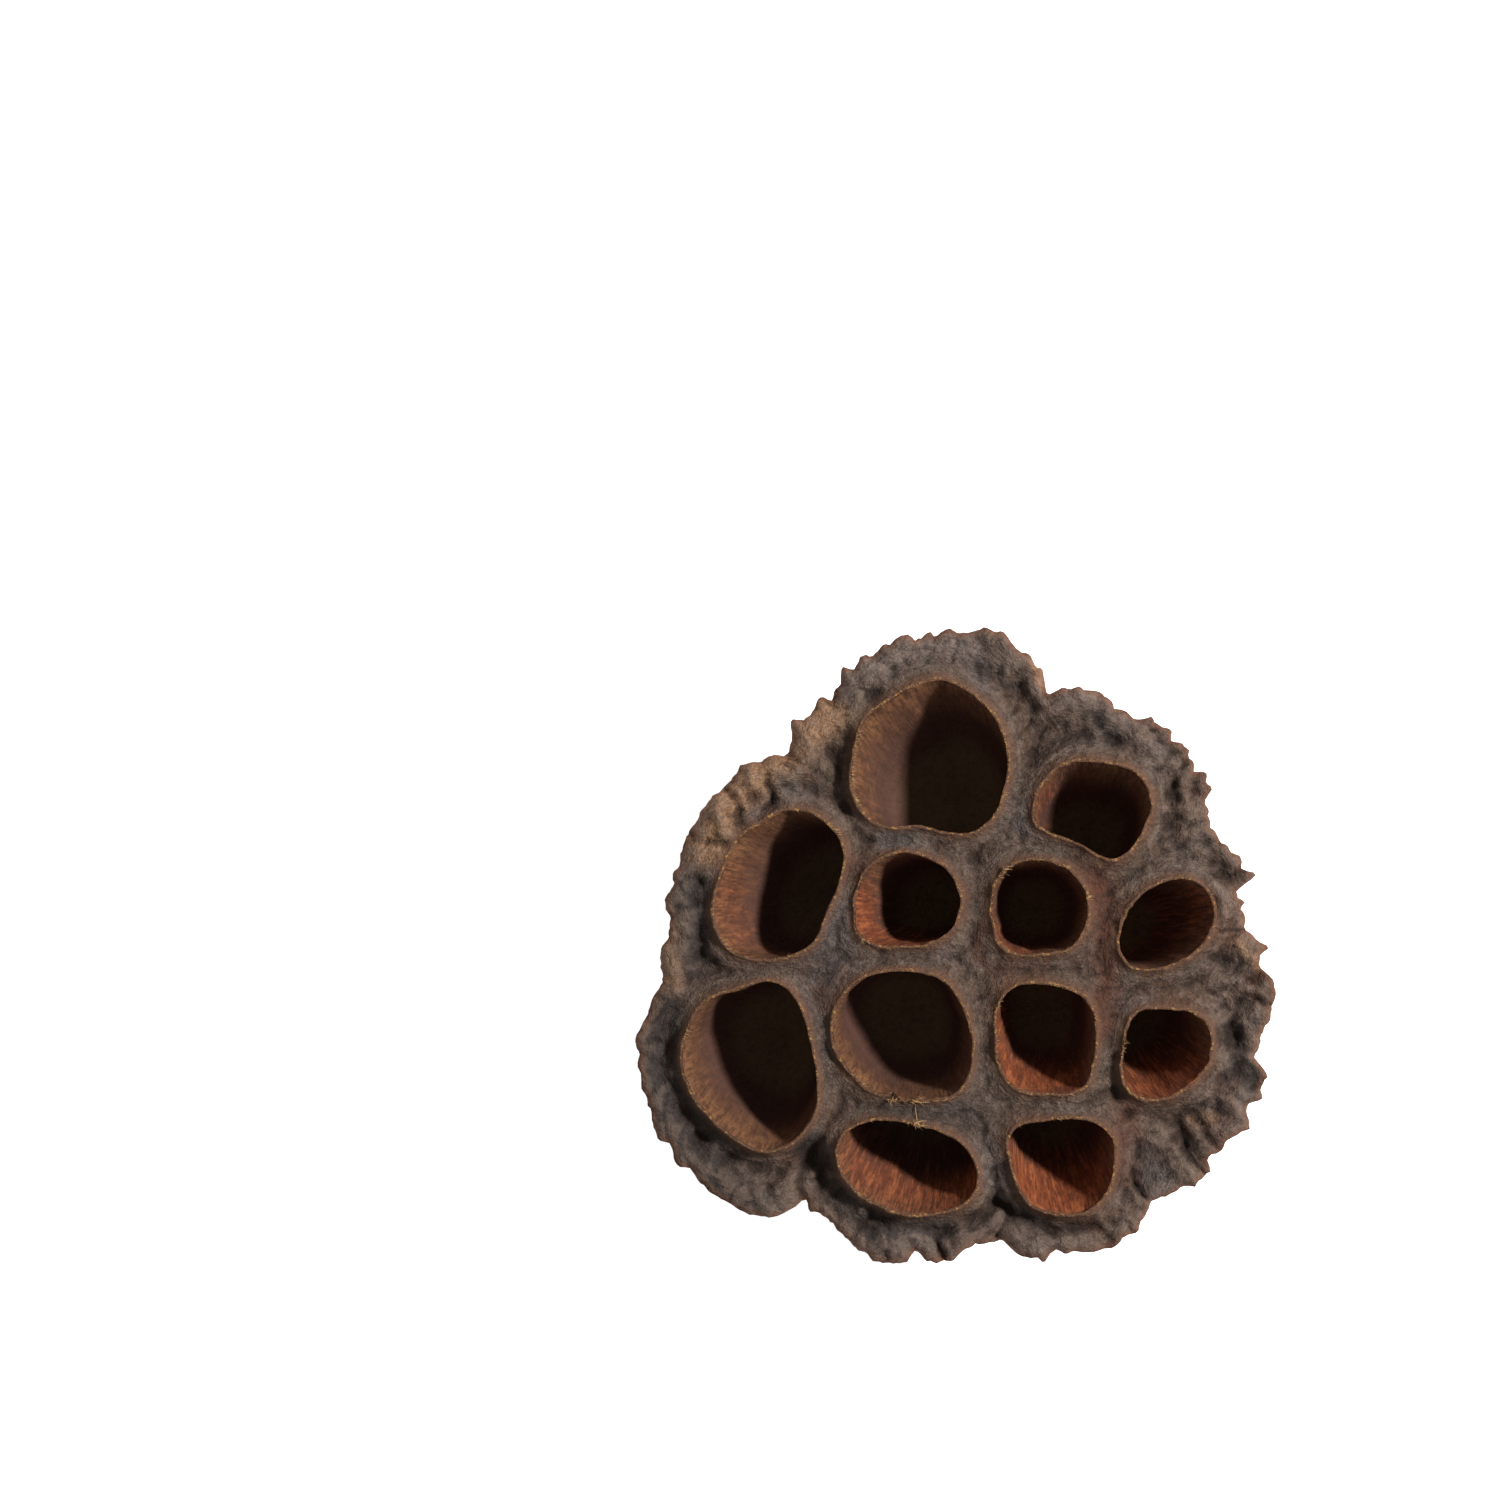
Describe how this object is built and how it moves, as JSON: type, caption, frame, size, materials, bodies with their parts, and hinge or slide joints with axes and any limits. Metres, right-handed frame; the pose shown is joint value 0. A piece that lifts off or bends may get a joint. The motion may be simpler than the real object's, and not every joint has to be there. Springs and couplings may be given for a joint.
{
  "type": "dried lotus pod",
  "caption": "Dried top-shaped seed head with a flat face of open empty seed cells, a crumpled margin and a flush-cut stalk, for dried arrangements.",
  "frame": {"origin": "middle of the flat cut where the stalk was, which is the bottom of the pod and under the middle of its face", "axes": "+Z up out of the face, along the line from the stalk to the face; +X to the right and +Y up as the face is seen with its widest cell at the top"},
  "size_m": [0.0794, 0.08, 0.046],
  "materials": {
    "dried_husk": "matt, fibrous, wrinkled"
  },
  "bodies": {
    "root": {"lotus_pod": "dried_husk"}
  },
  "joints": []
}
